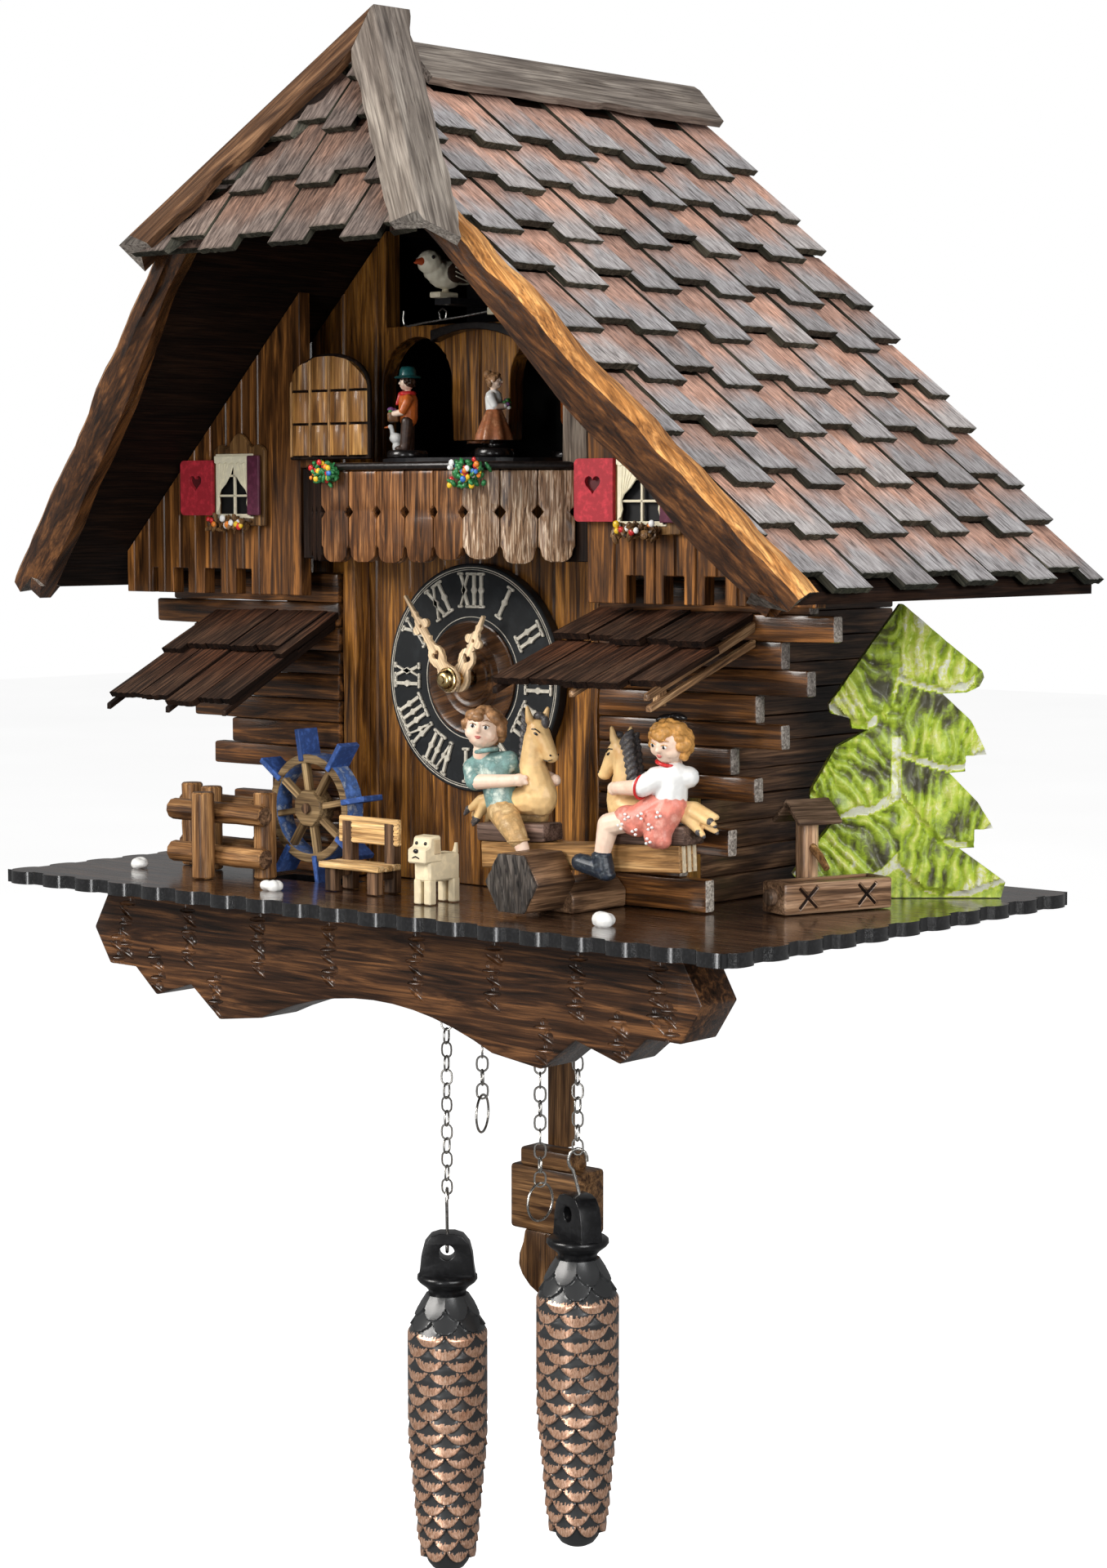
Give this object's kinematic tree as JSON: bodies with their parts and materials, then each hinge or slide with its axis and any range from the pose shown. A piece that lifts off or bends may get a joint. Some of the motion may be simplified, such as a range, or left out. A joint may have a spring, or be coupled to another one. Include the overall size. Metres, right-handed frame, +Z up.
{
  "type": "cuckoo clock",
  "caption": "Chalet cuckoo clock with shingled roof, balcony dancers, cuckoo, water wheel, see-saw, hanging cone weights and a pendulum.",
  "frame": {"origin": "centre of the hanging hole in the back panel, on the wall plane", "axes": "+Z up, +Y into the wall, so the dial faces -Y, +X to the right of somebody facing the dial"},
  "size_m": [0.398, 0.2495, 0.6071],
  "materials": {
    "platform": "stained dark brown, glossy lacquer",
    "wall": "stained brown, satin",
    "log": "stained dark brown, satin",
    "plank": "stained brown planks, glossy",
    "panel": "stained brown boards, glossy",
    "shingle": "weathered grey-brown shingles, matt",
    "hip": "brown shingles, satin",
    "cap": "grey-brown carved, satin",
    "barge": "golden brown carved, glossy",
    "awning": "dark red-brown shingles, satin",
    "fascia": "dark brown carved, satin",
    "dial": "black and brown lacquer, raised cream numerals",
    "hand": "pale cream",
    "cream": "cream and red paint",
    "rail": "black paint, glossy",
    "golden": "golden brown carved, satin",
    "rustic": "pale brown, satin",
    "dog": "pale wood, matt",
    "tree": "green stain with pale gouge marks",
    "mill": "tan wood with blue and white paint",
    "figure": "cast and hand-painted, satin",
    "bird": "cream and brown paint, glossy",
    "movement": "black moulded case",
    "chain": "bright steel wire links",
    "weight": "black with copper-brushed scales",
    "pendulum": "stained brown, satin"
  },
  "bodies": {
    "clock": {"platform": "platform", "fascia": "fascia", "wall_right": "wall", "wall_left": "wall", "case_front": "plank", "log_face_right": "log", "log_face_left": "log", "pilaster_right": "plank", "pilaster_left": "plank", "gable_panel_right": "panel", "gable_panel_left": "panel", "back_panel": "wall", "roof_right": "shingle", "roof_left": "shingle", "roof_hip": "hip", "hip_beam_right": "cap", "hip_beam_left": "barge", "ridge_cap": "cap", "barge_right": "barge", "barge_left": "barge", "awning_left": "awning", "awning_right": "awning", "dial": "dial", "balcony_boards": "panel", "balcony_rail": "rail", "stage_floor": "plank", "window_left": "cream", "window_right": "cream", "arch_shutter": "golden", "fence": "rustic", "bench": "rustic", "dog": "dog", "seesaw_log": "rustic", "well": "rustic", "tree": "tree", "movement": "movement"},
    "door": {"back_door": "wall"},
    "hour": {"hour_hand": "hand"},
    "minute": {"minute_hand": "hand"},
    "pendulum": {"pendulum_rod": "pendulum", "pendulum_bob": "pendulum"},
    "carousel": {"turntable": "rail", "dancer_man_1": "figure", "dancer_woman_1": "figure", "dancer_man_2": "figure", "dancer_woman_2": "figure"},
    "bird_slider": {"bird_arm": "movement"},
    "cuckoo": {"bird": "bird"},
    "mill": {"mill_wheel": "mill"},
    "seesaw": {"seesaw_plank": "rustic", "rider_boy": "figure", "horse_left": "figure", "rider_girl": "figure", "horse_right": "figure"},
    "weight_left_body": {"weight_left": "weight", "chain_weight_left": "chain"},
    "ring_left_body": {"chain_ring_left": "chain"},
    "weight_right_body": {"weight_right": "weight", "chain_weight_right": "chain"},
    "ring_right_body": {"chain_ring_right": "chain"}
  },
  "joints": [
    {"name": "door_hinge", "type": "hinge", "parent": "clock", "child": "door", "pos_m": [-0.059, 0, -0.125], "axis": [0, 0, 1], "range_deg": [0, 100]},
    {"name": "minute_spin", "type": "hinge", "parent": "clock", "child": "minute", "pos_m": [0, -0.149, -0.13], "axis": [0, 1, 0], "continuous": true},
    {"name": "hour_spin", "type": "hinge", "parent": "clock", "child": "hour", "pos_m": [0, -0.143, -0.13], "axis": [0, 1, 0], "continuous": true},
    {"name": "pendulum_swing", "type": "hinge", "parent": "clock", "child": "pendulum", "pos_m": [0, -0.085, -0.157], "axis": [0, 1, 0], "range_deg": [-6, 6]},
    {"name": "carousel_spin", "type": "hinge", "parent": "clock", "child": "carousel", "pos_m": [0, -0.126, -0.05], "axis": [0, 0, 1], "continuous": true},
    {"name": "bird_slide", "type": "slide", "parent": "clock", "child": "bird_slider", "axis": [0, 1, 0], "range_m": [0, 0.024]},
    {"name": "bird_bow", "type": "hinge", "parent": "bird_slider", "child": "cuckoo", "pos_m": [0, -0.1483, 0.015], "axis": [1, 0, 0], "range_deg": [-12, 0]},
    {"name": "mill_spin", "type": "hinge", "parent": "clock", "child": "mill", "pos_m": [-0.064, -0.156, -0.182], "axis": [0, 1, 0], "continuous": true},
    {"name": "seesaw_tilt", "type": "hinge", "parent": "clock", "child": "seesaw", "pos_m": [0.069, -0.165, -0.19], "axis": [0, 1, 0], "range_deg": [-3, 4]},
    {"name": "weight_left_slide", "type": "slide", "parent": "clock", "child": "weight_left_body", "axis": [0, 0, 1], "range_m": [-0.03, 0.055]},
    {"name": "ring_left_slide", "type": "slide", "parent": "clock", "child": "ring_left_body", "axis": [0, 0, 1], "range_m": [-0.055, 0.03]},
    {"name": "weight_right_slide", "type": "slide", "parent": "clock", "child": "weight_right_body", "axis": [0, 0, 1], "range_m": [-0.055, 0.03]},
    {"name": "ring_right_slide", "type": "slide", "parent": "clock", "child": "ring_right_body", "axis": [0, 0, 1], "range_m": [-0.03, 0.055]}
  ],
  "couplings": [
    {"joint": "hour_spin", "follows": "minute_spin", "ratio": 0.083333},
    {"joint": "bird_bow", "follows": "bird_slide", "rad_per_m": -8},
    {"joint": "ring_left_slide", "follows": "weight_left_slide", "ratio": -1},
    {"joint": "ring_right_slide", "follows": "weight_right_slide", "ratio": -1}
  ]
}
